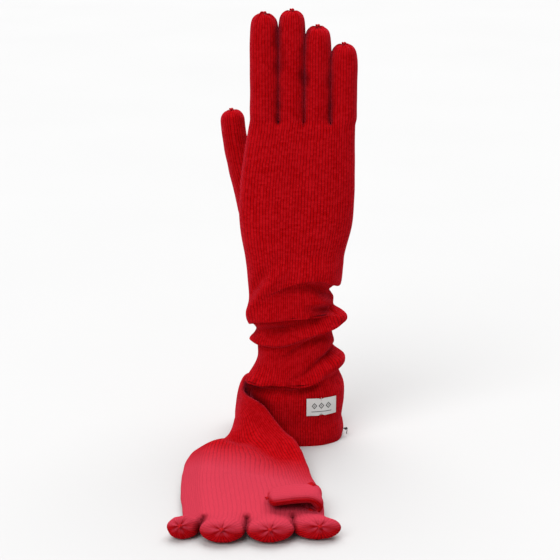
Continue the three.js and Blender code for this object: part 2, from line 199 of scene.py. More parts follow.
def add_finger(cage, number, top, mids, rows_up, root_along):
    """One finger: loops of 12 from its root up to its tip."""
    columns = [PER_FINGER * number + j for j in range(PER_FINGER + 1)]
    loop = [mids[number]] + [top[front(k)] for k in columns]
    loop += [mids[number + 1]] + [top[back(k)] for k in reversed(columns)]
    angles = [180.0] + [270 + a for a in FRONT_ANGLES] + [0.0] + [90 - a for a in reversed(FRONT_ANGLES)]
    fronts = [fabric_around(front(k)) for k in columns]
    backs = [fabric_around(back(k)) for k in reversed(columns)]
    starts = [fronts[0] - SIDE_COLUMN] + fronts + [backs[0] - SIDE_COLUMN] + backs
    ends = fronts + [fronts[-1] + SIDE_COLUMN] + backs + [backs[-1] + SIDE_COLUMN]
    for along, middle, depth_middle, radius, depth_radius in rows_up:
        ring = []
        for angle in angles:
            turn = math.radians(angle)
            across = middle + radius * math.cos(turn)
            ring.append(cage.point(across, depth_middle + depth_radius * math.sin(turn), along))
        for i in range(len(loop)):
            j = (i + 1) % len(loop)
            a, b = starts[i], ends[i]
            corners = (loop[i], loop[j], ring[j], ring[i])
            cage.face(corners, ((a, root_along), (b, root_along), (b, along), (a, along)))
        loop, root_along = ring, along
    along, middle, depth_middle = rows_up[-1][:3]
    tip = cage.point(middle, depth_middle, along + TIP_POINT)
    for i in range(len(loop)):
        j = (i + 1) % len(loop)
        a, b = starts[i], ends[i]
        end = ((a + b) / 2, along + rows_up[-1][3])
        cage.face((loop[i], loop[j], tip), ((a, along), (b, along), end))


# ------------------------------------------------------------------ fabric meshes

class Skin:
    """A fine quad mesh in the working millimetres: points, quads and fabric places."""

    def __init__(self, points, faces, fabric):
        self.points = points
        self.faces = faces
        self.fabric = fabric

    def middles(self):
        return self.points[self.faces].mean(axis=1)


def refined(cage, levels):
    """The cage after Catmull-Clark subdivision, as a Skin."""
    mesh = bpy.data.meshes.new("cage")
    mesh.from_pydata(cage.points, [], cage.faces)
    layer = mesh.uv_layers.new(name="knit")
    flat = [c for face in cage.fabric for corner in face for c in corner]
    layer.data.foreach_set("uv", flat)
    obj = placed("cage", mesh)
    subdivide = obj.modifiers.new("fine", "SUBSURF")
    subdivide.levels = levels
    graph = bpy.context.evaluated_depsgraph_get()
    fine = obj.evaluated_get(graph).to_mesh()
    points = np.zeros(len(fine.vertices) * 3)
    fine.vertices.foreach_get("co", points)
    corners = np.zeros(len(fine.loops), int)
    fine.loops.foreach_get("vertex_index", corners)
    fabric = np.zeros(len(fine.loops) * 2)
    fine.uv_layers[0].data.foreach_get("uv", fabric)
    skin = Skin(points.reshape(-1, 3), corners.reshape(-1, 4), fabric.reshape(-1, 4, 2))
    bpy.data.objects.remove(obj)
    bpy.data.meshes.remove(mesh)
    return skin


def open_edge(skin, axis=2, sign=1):
    """The vertices round the open lower edge, in column order, with their fabric places."""
    heights = skin.points[:, axis] * sign
    low = heights.min()
    on_edge = set(np.nonzero(heights < low + 1e-4)[0])
    found = {}
    for face, fabric in zip(skin.faces, skin.fabric):
        for i in range(4):
            j = (i + 1) % 4
            if face[i] in on_edge and face[j] in on_edge:
                found[face[i]] = (face[j], fabric[i][0], fabric[j][0])
    start = min(found, key=lambda vertex: found[vertex][1])
    order, places = [], []
    vertex = start
    while True:
        after, place, _ = found[vertex]
        order.append(vertex)
        places.append(place)
        vertex = after
        if vertex == start:
            break
    return np.array(order), np.array(places + [places[0] + WHOLE_WAY])


def tube_skin(rings, places, heights):
    """A Skin from rings of equal numbers of points; the first ring is the upper one."""
    count, around = rings.shape[:2]
    points = rings.reshape(-1, 3)
    row, column = np.meshgrid(np.arange(count - 1), np.arange(around), indexing="ij")
    after = (column + 1) % around
    faces = np.stack([
        (row + 1) * around + column, (row + 1) * around + after,
        row * around + after, row * around + column,
    ], axis=-1).reshape(-1, 4)
    u0, u1 = places[column], places[column + 1]
    v0, v1 = heights[row + 1], heights[row]
    fabric = np.stack([
        np.stack([u0, v0], -1), np.stack([u1, v0], -1),
        np.stack([u1, v1], -1), np.stack([u0, v1], -1),
    ], axis=-2).reshape(-1, 4, 2)
    return Skin(points, faces, fabric)


def ripple(points, size, seed):
    """Smooth unevenness from -1 to 1 with bumps of about that size."""
    draw = np.random.default_rng(seed)
    total = np.zeros(len(points))
    waves = 7
    for _ in range(waves):
        direction = draw.normal(size=3)
        direction /= np.linalg.norm(direction)
        pitch = size * draw.uniform(0.8, 1.6)
        total += np.sin(points @ direction * (2 * math.pi / pitch) + draw.uniform(0, 6.3))
    return total / waves


def unit_length(vectors, least=0.0):
    """The vectors brought to a length of one."""
    return vectors / np.maximum(np.linalg.norm(vectors, axis=-1, keepdims=True), least)


def point_normals(points, faces):
    a, b, c, d = (points[faces[:, i]] for i in range(4))
    normals = np.cross(c - a, d - b)
    total = np.zeros_like(points)
    for i in range(4):
        np.add.at(total, faces[:, i], normals)
    return unit_length(total, 1e-9)


def lumpy(skin, amount, size, seed):
    """Fine unevenness of hand-smoothed knitting, along the surface's own normals."""
    normals = point_normals(skin.points, skin.faces)
    skin.points = skin.points + normals * (amount * ripple(skin.points, size, seed))[:, None]


def border(faces):
    """The directed edges that only one of the faces has."""
    edges = np.concatenate([faces[:, [i, (i + 1) % 4]] for i in range(4)])
    key = np.sort(edges, axis=1)
    _, where, count = np.unique(key, axis=0, return_inverse=True, return_counts=True)
    return edges[count[where.ravel()] == 1]


def fabric_mesh(name, points, faces, places):
    """A smooth mesh from points in the working millimetres, with its place on the fabric."""
    mesh = bpy.data.meshes.new(name)
    mesh.from_pydata((points * MM + BASE).tolist(), [], faces)
    layer = mesh.uv_layers.new(name="knit")
    layer.data.foreach_set("uv", np.array(places, float).reshape(-1))
    mesh.polygons.foreach_set("use_smooth", [True] * len(mesh.polygons))
    return mesh


def keep_values(mesh, name, values):
    """Keep a value from 0 to 1 for each of the mesh's points, for its material."""
    attribute = mesh.attributes.new(name, "FLOAT", "POINT")
    attribute.data.foreach_set("value", values)


def piece(name, skin, keep, normals, thickness=THICKNESS, hollow=None, painted_palm_light=None):
    """An object of the skin's faces where keep is true, backed by the inside of the fabric."""
    faces = skin.faces[keep]
    fabric = skin.fabric[keep]
    used, corners = np.unique(faces, return_inverse=True)
    corners = corners.reshape(-1, 4)
    outer = skin.points[used]
    outward = normals[used]
    depth = thickness(outer)[:, None] if callable(thickness) else thickness
    points = np.concatenate([outer, outer - outward * depth])
    count = len(used)
    rim = border(corners)
    inside = corners[:, ::-1] + count
    edge = np.stack([rim[:, 1], rim[:, 0], rim[:, 0] + count, rim[:, 1] + count], axis=1)
    place = np.zeros((count, 2))
    place[corners.ravel()] = fabric.reshape(-1, 2)
    everything = np.concatenate([corners, inside, edge])
    laid = np.concatenate([fabric, fabric[:, ::-1], place[edge % count]])
    mesh = fabric_mesh(name, points, everything.tolist(), laid)
    # painted shade for the material: how deep in a recess each outer point lies, and a fixed amount on the
    # inside
    if hollow is not None:
        keep_values(mesh, "hollow", np.concatenate([hollow[used], np.full(count, LINING_SHADE)]))
    # painted light on the palm's upward faces, none on the inside
    if painted_palm_light is not None:
        keep_values(mesh, "painted_palm_light", np.concatenate([painted_palm_light[used], np.zeros(count)]))
    mesh.normals_split_custom_set_from_vertices(np.concatenate([outward, -outward]).tolist())
    return placed(name, mesh)


def swept_skin(path, across, sizes, steps, around):
    """A tube along a smooth path, closed to a dome at its end. sizes are rows of (share of the
    way, half width, half depth); across is roughly the direction of the width."""
    table = np.array(path, float)
    apart = np.linalg.norm(np.diff(table, axis=0), axis=1)
    travelled = np.concatenate([[0], np.cumsum(apart)])
    length = travelled[-1]
    rows = np.concatenate([travelled[:, None], table], axis=1)
    dome = min(sizes[-1][1:])
    body = int(steps * 0.75)
    straight = np.linspace(0, length - dome, body, endpoint=False)
    turn = np.linspace(0, math.pi / 2, steps - body)
    at = np.concatenate([straight, length - dome + dome * np.sin(turn)])
    size = np.stack(smooth_through(sizes, at / length), -1)
    shrink = np.concatenate([np.ones(body), np.maximum(np.cos(turn) ** 0.8, 0.02)])
    centre = np.stack(smooth_through(rows, at), -1)
    tangent = unit_length(np.gradient(centre, at, axis=0))
    across = np.array(across, float)
    side = unit_length(across - tangent * (tangent @ across)[:, None])
    through = np.cross(side, tangent)
    angle = np.arange(around) * 2 * math.pi / around
    cosine, sine = np.cos(angle), np.sin(angle)
    wide = np.sign(cosine) * np.abs(cosine) ** (2 / SQUARENESS)
    deep = np.sign(sine) * np.abs(sine) ** (2 / SQUARENESS)
    rings = (centre[:, None]
             + side[:, None] * (size[:, 0] * shrink)[:, None, None] * wide[None, :, None]
             + through[:, None] * (size[:, 1] * shrink)[:, None, None] * deep[None, :, None])
    girth = 2 * math.pi * float(np.mean(size[:body])) * 1.06
    places = np.arange(around + 1) * girth / around
    lengths = np.concatenate([[0], np.cumsum(np.linalg.norm(np.diff(rings, axis=0), axis=-1).mean(axis=1))])
    skin = tube_skin(rings, places, lengths)
    return skin, centre[-1], tangent[-1]


def pucker(skin, tip, along, reach, depth, folds, seed):
    """The radial creases where a fingertip's last stitches are drawn together."""
    offset = skin.points - tip
    ahead = offset @ along
    aside = offset - ahead[:, None] * along
    distance = np.linalg.norm(offset, axis=1)
    first = np.cross(along, [0.3, 0.5, 0.81])
    first /= np.linalg.norm(first)
    second = np.cross(along, first)
    angle = np.arctan2(aside @ second, aside @ first)
    draw = np.random.default_rng(seed)
    wobble = draw.uniform(0, 6.28, 3)
    wave = np.cos(folds * angle + wobble[0]) + 0.6 * np.cos((folds - 3) * angle + wobble[1])
    near = np.exp(-((distance / reach) ** 2)) * np.clip(distance / (0.35 * reach), 0, 1)
    dimple = 1.6 * np.exp(-((distance / (0.35 * reach)) ** 2))
    normals = point_normals(skin.points, skin.faces)
    skin.points = skin.points - normals * (depth * (near * (0.8 + 0.7 * wave) + dimple))[:, None]


def nub(skin, centre, height, size):
    """A small point of fabric that stands up where the last stitches were fastened."""
    near = np.exp(-((np.linalg.norm(skin.points[:, :2] - centre[:2], axis=1) / size) ** 2))
    near *= skin.points[:, 2] > centre[2] - 8
    skin.points[:, 2] += height * near


ASKEW = [0.21, 0.37, 0.9]  # a direction that no thread runs in
KNOT_YARN = 0.42  # radius of the yarn of a tip's knot


def yarn(name, route, radius, material, closed=False, sides=8):
    """A plied thread or yarn along a route of points, as a tube."""
    route = np.array(route, float)
    ahead, behind = np.roll(route, -1, axis=0), np.roll(route, 1, axis=0)
    if not closed:
        ahead[-1], behind[0] = route[-1], route[0]
    tangent = unit_length(ahead - behind)
    side = unit_length(np.cross(tangent, ASKEW))
    other = np.cross(tangent, side)
    turn = np.arange(sides) * 2 * math.pi / sides
    rings = route[:, None] + radius * (side[:, None] * np.cos(turn)[None, :, None]
                                       + other[:, None] * np.sin(turn)[None, :, None])
    count = len(route)
    last = count if closed else count - 1
    faces, fabric = [], []
    for i in range(last):
        j = (i + 1) % count
        for a in range(sides):
            b = (a + 1) % sides
            faces.append((i * sides + a, i * sides + b, j * sides + b, j * sides + a))
            fabric += [(a / sides, i), ((a + 1) / sides, i), ((a + 1) / sides, i + 1), (a / sides, i + 1)]
    if not closed:
        faces.append(tuple(reversed(range(sides))))
        faces.append(tuple(range((count - 1) * sides, count * sides)))
        fabric += [(0, 0)] * (2 * sides)
    mesh = fabric_mesh(name, rings.reshape(-1, 3), faces, fabric)
    return dress(placed(name, mesh), material)


def knot_route(centre, size):
    """The closed route of a small overhand knot."""
    turn = np.linspace(0, 2 * math.pi, 40, endpoint=False)
    x = np.sin(turn) + 2 * np.sin(2 * turn)
    y = np.cos(turn) - 2 * np.cos(2 * turn)
    z = -np.sin(3 * turn)
    return np.array(centre) + np.stack([x, y, z * 1.2], -1) * size / 3


def gather_tip(digit, centre, size=1.5):
    """The knot of yarn that draws a digit's tip together."""
    knot = yarn(f"{digit}_knot", knot_route(centre, size), KNOT_YARN, YARN, True)
    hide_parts(f"{digit}_tip_gather")
    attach(knot, digit)


class Shade:
    """How deep in a recess each point of the gloves lies, from rays sent out of a sample. The wool's colour
    is darkened by it as painted shade.
    """

    SEED = 11
    RAYS = 26
    SAMPLE = 9000
    REACH = 16.0
    START = 0.5  # a ray starts this far off the fabric
    LIFT = 1.02  # rays lean away from the fabric, so that none starts into it
    MOST = 0.5
    NEIGHBOURS = 9
    EVEN = 1.2  # added to a neighbour's distance, so that the nearest one doesn't decide alone

    def __init__(self, skins):
        points = np.concatenate([skin.points for skin in skins])
        start = np.cumsum([0] + [len(skin.points) for skin in skins])
        faces = np.concatenate([skin.faces + s for skin, s in zip(skins, start)])
        normals = np.concatenate([point_normals(skin.points, skin.faces) for skin in skins])
        self.tree = BVHTree.FromPolygons(points.tolist(), faces.tolist())
        draw = np.random.default_rng(self.SEED)
        chosen = draw.choice(len(points), self.SAMPLE * len(skins), replace=False)
        rays = unit_length(draw.normal(size=(self.RAYS, 3)))
        self.kd = KDTree(len(chosen))
        self.value = np.zeros(len(chosen))
        for slot, vertex in enumerate(chosen):
            normal = normals[vertex]
            origin = points[vertex] + normal * self.START
            blocked = 0.0
            for ray in rays:
                way = ray + normal * self.LIFT
                hit = self.tree.ray_cast(Vector(origin), Vector(way), self.REACH)[3]
                if hit is not None:
                    blocked += 1 - (hit / self.REACH) ** 2
            self.value[slot] = min(blocked / self.RAYS, self.MOST)
            self.kd.insert(Vector(points[vertex]), slot)
        self.kd.balance()

    def at(self, points):
        out = np.zeros(len(points))
        for i, point in enumerate(points):
            near = self.kd.find_n(Vector(point), self.NEIGHBOURS)
            weight = [1 / (self.EVEN + item[2]) for item in near]
            out[i] = sum(self.value[item[1]] * w for item, w in zip(near, weight)) / sum(weight)
        return out


# ------------------------------------------------------------------ right glove

RIGHT_ROWS = [
    (146, -1.9, 38.2, 22.2),
    (152, -1.7, 39.6, 21.6),
    (166, -1.0, 42.4, 19.9),
    (190, -0.2, 42.8, 17.6),
    (213, 1.1, 41.2, 15.3),
    (230, 2.4, 39.4, 13.4),
    (239, 3.2, 38.6, 11.8),
]
RIGHT_CROTCHES = [243, 241.4, 240.2, 238.4, 240]
RIGHT_EDGES = [-33.4, -13.9, 3.8, 23.9, 42.2]
RIGHT_NAMES = ("index", "middle", "ring", "little")
# Middle of the root, lean to the right at the tip and radius of each finger
RIGHT_FINGERS = {
    "index": (-23.5, -0.2, 11.6),
    "middle": (-4.5, 0.3, 11.0),
    "ring": (14.0, 0.1, 11.0),
    "little": (32.6, 0.1, 10.9),
}
RIGHT_ROOT = 239.5
# Share of the way along a finger and size of its loop there, up to its dome
RIGHT_SHAFT = ((0.03, 0.97), (0.1, 1.0), (0.28, 0.98), (0.5, 0.965), (0.72, 0.985))
# Share of the way up the dome of a tip and size of its loop there
TIP_ROUNDING = ((0.45, 0.93), (0.8, 0.68), (0.97, 0.34))
DOME = 1.05  # height of the dome over the finger's radius
RIGHT_CUT = 242.0  # where the fingers' fabric parts from the palm's
HAND_LOW = 103.0  # where the hand's fabric parts from the upper fold's
FOLD_LOW = 60.0  # and the upper fold's from the lower fold's
# Body of each length of fabric, the body below it, the nodes it stands for, its lowest and
# highest height, and the heights between which it goes over from the one body to the other
RIGHT_LENGTHS = (
    ("right_hand", "right_upper_fold", ("right_hand",), HAND_LOW, RIGHT_CUT, (106, 160)),
    ("right_upper_fold", "right_lower_fold", ("right_sleeve_upper_fold",), FOLD_LOW, HAND_LOW,
     (64, 100)),
    ("right_lower_fold", "root", ("right_sleeve_lower_fold", "right_sleeve_band"), HEM_TOP,
     FOLD_LOW, (36, 58)),
)
INDEX_NUB = (-25.6, -2.0, 318.0)
RIGHT_THUMB_PATH = [(-22, 5, 146), (-27.5, 11, 160), (-33, 18, 174), (-37.5, 22.6, 187),
                    (-41.6, 24.8, 201), (-44.8, 26, 217), (-47, 26.6, 232), (-48.3, 27, 244.6)]
RIGHT_THUMB_SIZES = [(0, 13, 11), (0.2, 12, 11), (0.36, 10.6, 10), (0.5, 9.4, 9.2), (0.7, 9.1, 8.9),
                     (1, 8.9, 8.6)]


def finger_rows(middle, lean, radius, depth, root, tip):
    """Rows of a finger from just over its root to the dome of its tip."""
    length = tip - root
    rows = []
    for share, size in RIGHT_SHAFT:
        rows.append((root + share * length, middle + lean * share, 0, radius * size, depth * size))
    dome = radius * DOME
    for up, size in TIP_ROUNDING:
        along = tip - dome + dome * up
        share = (along - root) / length
        rows.append((along, middle + lean * share, 0, radius * size, depth * size))
    return rows


def right_fingers():
    rows = []
    for name in RIGHT_NAMES:
        low, high = node_box(f"right_{name}_finger")
        depth = (high[1] - low[1]) / 2 + 0.4
        middle, lean, radius = RIGHT_FINGERS[name]
        rows.append(finger_rows(middle, lean, radius, depth, RIGHT_ROOT, high[2] + 0.6))
    return {"edges": RIGHT_EDGES, "rows": rows}


# The slouched sleeve. Each fold is a line round the sleeve, given as (degrees round from the
# right side, height, how far it stands out), with how far it reaches above and below the line
# and how far it sags down over what is below it. The front of the sleeve is at -90 degrees.
FOLDS = [
    # the hand's heel hanging over the wrist
    dict(line=[(-124, 117, 0), (-104, 122.5, 1.8), (-90, 126, 3), (-75, 128.4, 3.6), (-60, 128.2, 3.8),
               (-44, 125, 3.8), (-25, 121.5, 3.6), (0, 120, 3.4), (30, 122, 2.6), (60, 125, 1.2),
               (90, 128, 0)], above=13, below=3.2, sag=4.6),
    dict(line=[(-118, 113, 0), (-100, 118, -1.6), (-75, 123, -3.4), (-60, 122.5, -4.2),
               (-44, 119, -4.8), (-20, 115, -4.8), (0, 114.4, -4), (20, 115, -3), (50, 118, 0)],
         above=4, below=4.4, sag=0),
    # the small roll under it at the right, pinched in at the front
    dict(line=[(-78, 114, 0), (-60, 113.5, 1.6), (-44, 112.8, 2.6), (-20, 110.6, 1.6), (0, 109.6, 1.6),
               (30, 109, 1), (60, 109, 0)], above=3.4, below=2.4, sag=2),
    dict(line=[(-76, 109.5, 0), (-60, 108.6, -3.8), (-44, 107.4, -5.0), (-20, 104.6, -3.4),
               (0, 103.6, -2.4), (30, 103, -1.4), (60, 103, 0)], above=2.6, below=2.6, sag=0),
    # the diagonal pull from the left side up to the back of the hand
    dict(line=[(-215, 92, 0), (-190, 96, 1), (-168, 99, 2), (-150, 106, 3.4), (-130, 117, 3.4),
               (-110, 131, 2.2), (-92, 144, 0)], above=6.5, below=6.5, sag=1),
    dict(line=[(-165, 110, 0), (-148, 117, -2), (-128, 128, -2.2), (-112, 140, 0)],
         above=6, below=6, sag=0),
    # the nearly straight overhang across the middle, and the dark hollow under it
    dict(line=[(-196, 90, 0), (-180, 90, 1.6), (-165, 91, 2), (-142, 94.5, 3), (-103, 98.5, 3.6),
               (-75, 100, 3.4), (-45, 101, 2.4), (-18, 101.5, 0)], above=10, below=2.4, sag=4.4),
    dict(line=[(-210, 85, 0), (-192, 85.5, -4.6), (-174, 85.5, -5.0), (-155, 86, -5.0),
               (-128, 88.5, -5.4), (-100, 91, -5.4), (-75, 95.5, -3.8), (-50, 97.5, -3.2),
               (-30, 97, -3), (-12, 96, -1.5), (5, 95, 0)], above=3.6, below=4, sag=0),
    # the roll that crosses from low on the left to high on the right
    dict(line=[(-230, 79, 0), (-200, 78, 4), (-180, 78, 6.8), (-156, 79, 6), (-132, 79.5, 4.8),
               (-103, 81.5, 4), (-90, 84, 4.2), (-67, 88.5, 4.8), (-44, 91, 6.4), (-20, 92.6, 8.4),
               (0, 93, 9.6), (25, 91, 7), (60, 88, 3), (100, 86, 0)],
         above=6.2, below=4.4, sag=4, power=2.8),
    dict(line=[(-126, 66, 0), (-103, 70, -2), (-90, 75, -3.4), (-73, 80.5, -3.6), (-45, 84, -3.2),
               (0, 82.5, -2.6), (30, 81, 0)], above=2.6, below=5, sag=0),
    # the short roll low on the right, running down across the front
    dict(line=[(-104, 50, 0), (-85, 52.5, 2.4), (-60, 57.5, 4.4), (-40, 61, 5.6), (-20, 62.4, 7),
               (0, 62, 7.6), (30, 61, 6), (70, 58, 0)], above=3.6, below=8, sag=3.4, power=2.6),
    dict(line=[(-108, 54.5, 0), (-85, 58, -2.6), (-58, 65, -3.4), (-36, 70, -3.4), (0, 71.5, -2.6),
               (30, 70, 0)], above=2.6, below=2.6, sag=0),
    dict(line=[(-225, 50, 0), (-195, 49, 3.4), (-178, 49, 4.6), (-150, 50, 3), (-122, 52, 0)],
         above=7, below=6, sag=1.5),
    # the bottom fold hanging over the plain band that carries the label
    dict(line=[(-200, 44, 0), (-172, 46, 2.6), (-156, 47, 3.6), (-132, 48, 4.2), (-94, 49.5, 4.2),
               (-77, 51.5, 3.2), (-55, 56, 0)], above=8, below=2.4, sag=4.6),
    dict(line=[(-185, 40, 0), (-165, 40.5, -2), (-132, 42, -3), (-94, 43.5, -3), (-70, 48, -2),
               (-52, 52, 0)], above=2.6, below=4, sag=0),
    # folds on the far side
    dict(line=[(62, 112, 0), (90, 108, 3.6), (120, 104, 4), (150, 98, 3), (175, 94, 0)],
         above=8, below=3, sag=4.4),
    dict(line=[(40, 78, 0), (70, 74, 4), (100, 70, 5), (135, 66, 4), (165, 62, 0)],
         above=7, below=3, sag=4.4),
    dict(line=[(60, 50, 0), (95, 46, 3), (130, 42, 3.6), (160, 42, 2), (185, 44, 0)],
         above=7, below=3, sag=3.6),
]
SLEEVE_STEP = 0.55  # height between two rings of the sleeve
SLEEVE_OVAL = 1.35  # its width over its depth
TOP_FADE = 8.0  # folds fade out over this height under the hand
BOTTOM_FADE = 14.0  # and over this height above the table
# Height, middle, half width and half depth of the sleeve between its folds
SLEEVE_ROWS = [
    (0, 0, 34.8, 26.0), (5, 0.2, 35.6, 26.6), (12, 0, 35.2, 26.4), (16, 0, 34.4, 25.8),
    (20, 0, 34.8, 26.0), (30, 0.3, 36.0, 26.2), (42, 0.6, 35.4, 25.6), (50, 0.2, 32.4, 24.6),
    (62, 0, 29.8, 23.6), (75, -0.6, 29.4, 23.4), (86, -1.2, 30.0, 23.4), (95, -2.7, 31.9, 23.6),
    (103, -3.9, 32.1, 23.6), (112, -4.4, 31.9, 23.6), (122, -4.2, 33.0, 23.4), (133, -3.0, 34.9, 23.2),
    (146, -1.9, 38.2, 22.2), (152, -1.7, 39.6, 21.6),
]


def smooth_through(values, at):
    """A smooth curve through (place, value...) rows, for every place in at."""
    table = np.array(values, float)
    place = table[:, 0]
    out = []
    for column in range(1, table.shape[1]):
        y = table[:, column]
        slope = np.gradient(y, place)
        i = np.clip(np.searchsorted(place, at) - 1, 0, len(place) - 2)
        h = place[i + 1] - place[i]
        t = np.clip((at - place[i]) / h, 0, 1)
        t2, t3 = t * t, t * t * t
        out.append((2 * t3 - 3 * t2 + 1) * y[i] + (t3 - 2 * t2 + t) * h * slope[i]
                   + (3 * t2 - 2 * t3) * y[i + 1] + (t3 - t2) * h * slope[i + 1])
    return out


def fold_line(line, degrees):
    """Height and stand-out of a fold at each angle; it fades to nothing at its ends."""
    table = np.array(sorted(line), float)
    lowest = table[0, 0]
    at = lowest + (degrees - lowest) % 360
    height, out = smooth_through(table, np.minimum(at, table[-1, 0]))
    return height, np.where(at > table[-1, 0], 0.0, out)


def sleeve_offsets(degrees, heights):
    """How far each point of the sleeve stands out and sinks, for its folds."""
    out = np.zeros((len(heights), len(degrees)))
    drop = np.zeros_like(out)
    for fold in FOLDS:
        height, stand = fold_line(fold["line"], degrees)
        share = np.abs(stand) / np.abs(stand).max()
        sag = fold["sag"] * np.sqrt(share)
        t = heights[:, None] - (height + sag)[None, :]
        reach = np.where(t > 0, fold["above"], fold["below"])
        shape = np.exp(-(np.abs(t / reach) ** fold.get("power", 2)))
        out += stand * shape
        drop += sag * np.where(t > 0, np.exp(-((t / (fold["above"] * 1.2)) ** 2)), shape)
    return out, drop


def right_sleeve(hand):
    """The sleeve as one tube from the hand's open edge down to the table."""
    order, places = open_edge(hand)
    edge = hand.points[order]
    top = edge[0, 2]
    middle, half_width, half_depth = smooth_through(SLEEVE_ROWS, np.array([top]))
    round_edge = np.stack([(edge[:, 0] - middle[0]) / half_width[0], edge[:, 1] / half_depth[0]], -1)
    degrees = np.degrees(np.arctan2(round_edge[:, 1], round_edge[:, 0]))
    steps = int(top / SLEEVE_STEP)
    heights = np.linspace(top, 0, steps)
    middle, half_width, half_depth = smooth_through(SLEEVE_ROWS, heights)
    out, drop = sleeve_offsets(degrees, heights)
    settle = np.clip((top - heights) / TOP_FADE, 0, 1) * np.clip(heights / BOTTOM_FADE, 0, 1)
    out, drop = out * settle[:, None], drop * settle[:, None]
    normal = unit_length(np.stack([round_edge[:, 0] / SLEEVE_OVAL, round_edge[:, 1]], -1))
    rings = np.zeros((steps, len(order), 3))
    rings[..., 0] = middle[:, None] + half_width[:, None] * round_edge[:, 0] + out * normal[:, 0]
    rings[..., 1] = half_depth[:, None] * round_edge[:, 1] + out * normal[:, 1]
    rings[..., 2] = heights[:, None] - drop
    rings[0] = edge
    lengths = np.linalg.norm(np.diff(rings, axis=0), axis=-1).mean(axis=1)
    fabric = top - np.concatenate([[0], np.cumsum(lengths)])
    return tube_skin(rings, places, fabric)


def join(first, second, shared):
    """Two skins as one; shared are the first skin's vertices that are the second's first ring."""
    count = len(shared)
    renumber = np.concatenate([shared, len(first.points) + np.arange(len(second.points) - count)])
    points = np.concatenate([first.points, second.points[count:]])
    faces = np.concatenate([first.faces, renumber[second.faces]])
    return Skin(points, faces, np.concatenate([first.fabric, second.fabric]))


# ------------------------------------------------------------------ left glove
#
# The empty glove is two layers of fabric lying on each other. Its middle surface is a net of
# points: five across, from the little finger's side to the thumb's, and one row after another
# from the palm back along the sleeve, which turns up on edge and passes behind the right glove.

LEFT_HALF_DEPTH = 5.0
RIBBON_HALF_DEPTH = 3.4  # of the sleeve where it stands on edge
LEFT_MIDDLE = 5.6  # height of the empty hand's middle
LEFT_SEAM = 100.0
LEFT_STEPS = 330  # rings along the sleeve
LEFT_PLACES = 41  # across the sleeve, where its slope is worked out
THINNING = (40, 70)  # lengths along the sleeve between which it thins
EDGE_FADE = 30.0  # length over which the sleeve leaves the palm's edge for the net


def on_edge(x, y, *heights):
    """A row of the net where the sleeve stands upright."""
    return [(x, y, z) for z in heights]


LEFT_NET = [
    [(-82, -100, 5.6), (-58, -100, 6.0), (-35, -100, 6.2), (-11, -100, 5.6), (11.6, -100, 6.4)],
    [(-82, -90, 5.8), (-58, -89, 7.4), (-35.5, -90, 8.8), (-12, -90, 5.2), (9, -90, 8.2)],
    [(-81.5, -78, 6), (-58, -77, 8.6), (-36, -78, 10.2), (-14, -78, 5.0), (6.4, -78, 11.4)],
    [(-80, -66, 6), (-57.5, -65, 9.6), (-38.5, -66, 10.4), (-18, -67, 5.8), (3.0, -66, 15)],
    [(-76.5, -54, 6), (-57, -53, 10.6), (-40.5, -53, 7.4), (-21.5, -55, 9.4), (-2.4, -54, 18.4)],
    [(-70, -43, 5.4), (-56, -42, 9.0), (-43.5, -41, 6.2), (-27.0, -43.5, 13.6), (-11, -43, 22)],
    [(-59.5, -34, 3.6), (-52, -32.5, 6.4), (-43, -32, 10.5), (-31, -34, 19.2), (-18.6, -35, 28.8)],
    [(-52, -24, 2), (-48.5, -22.5, 7), (-42.2, -23.5, 15.5), (-34, -26.5, 26), (-25.4, -28.5, 35)],
    [(-47.5, -12, 1), (-45.5, -12, 9.5), (-42.4, -14, 20), (-38.4, -17, 29.4), (-33.6, -20.5, 37)],
    [(-45, 1, 1), (-44, 0, 11), (-42, -1, 21), (-40.6, -4, 28.6), (-40.0, -7, 36.4)],
    [(-44.4, 15, 1), (-44, 15, 11), (-43, 15, 20.5), (-42, 14, 28), (-41.2, 13, 36.4)],
    [(-39.4, 27, 1), (-39.4, 27, 10.5), (-39, 27, 20), (-38.6, 27, 29.5), (-38.2, 27, 38.4)],
    on_edge(-29, 36, 1, 10, 19.2, 28.4, 37.4),
    on_edge(-16, 41, 1, 9.8, 18.8, 27.6, 36.6),
    on_edge(-2, 42.2, 1, 9.8, 18.6, 27.4, 36.2),
    on_edge(13, 42, 1, 9.8, 18.6, 27.4, 36.4),
    on_edge(29, 41.4, 0.8, 9.8, 18.8, 27.8, 36.8),
]
LEFT_ROWS = [
    (92, -36.0, 45.8, LEFT_HALF_DEPTH),
    (100, -35.2, 46.8, LEFT_HALF_DEPTH),
    (112, -34.0, 47.8, LEFT_HALF_DEPTH),
    (126, -32.4, 48.6, LEFT_HALF_DEPTH),
    (140, -31.0, 48.4, LEFT_HALF_DEPTH),
    (152, -30.2, 47.6, LEFT_HALF_DEPTH),
    (160, -29.8, 47.2, LEFT_HALF_DEPTH),
]
LEFT_CROTCHES = [163, 165, 165.5, 165, 163]
LEFT_EDGES = [-77.4, -63.1, -34.6, -3.5, 18.0]
LEFT_ROOT = 163.0
LEFT_CUT = -165.0  # where the fingers' fabric parts from the palm's
LEFT_NAMES = ("little", "ring", "middle", "index")
LEFT_FINGERS = [
    dict(lean=-7.0, root=8.6, tip=11.8, end=185.0, rise=4.2),
    dict(lean=-1.2, root=15.6, tip=16.2, end=192.0, rise=5.0),
    dict(lean=0.0, root=16.6, tip=16.8, end=192.0, rise=5.0),
    dict(lean=5.6, root=12.8, tip=17.0, end=186.5, rise=4.6),
]
LEFT_SHAFT = (0.04, 0.14, 0.32, 0.52, 0.7)
LEFT_DOME = 8.0
LEFT_TIP_DEPTH = 3.6  # how much fuller a fingertip is than the palm
CURL = 0.3  # how far the fingertips' ends lean back, facing upwards
CURL_START = 8.0  # beyond the root
CURL_REACH = 12.0
LEFT_WRIST_STRETCH = (-42, -58)  # where the sleeve's fabric goes over to the hand
LEFT_HEM_START = (13, 20)  # the hem is the stretch of sleeve beyond these, to the right and back
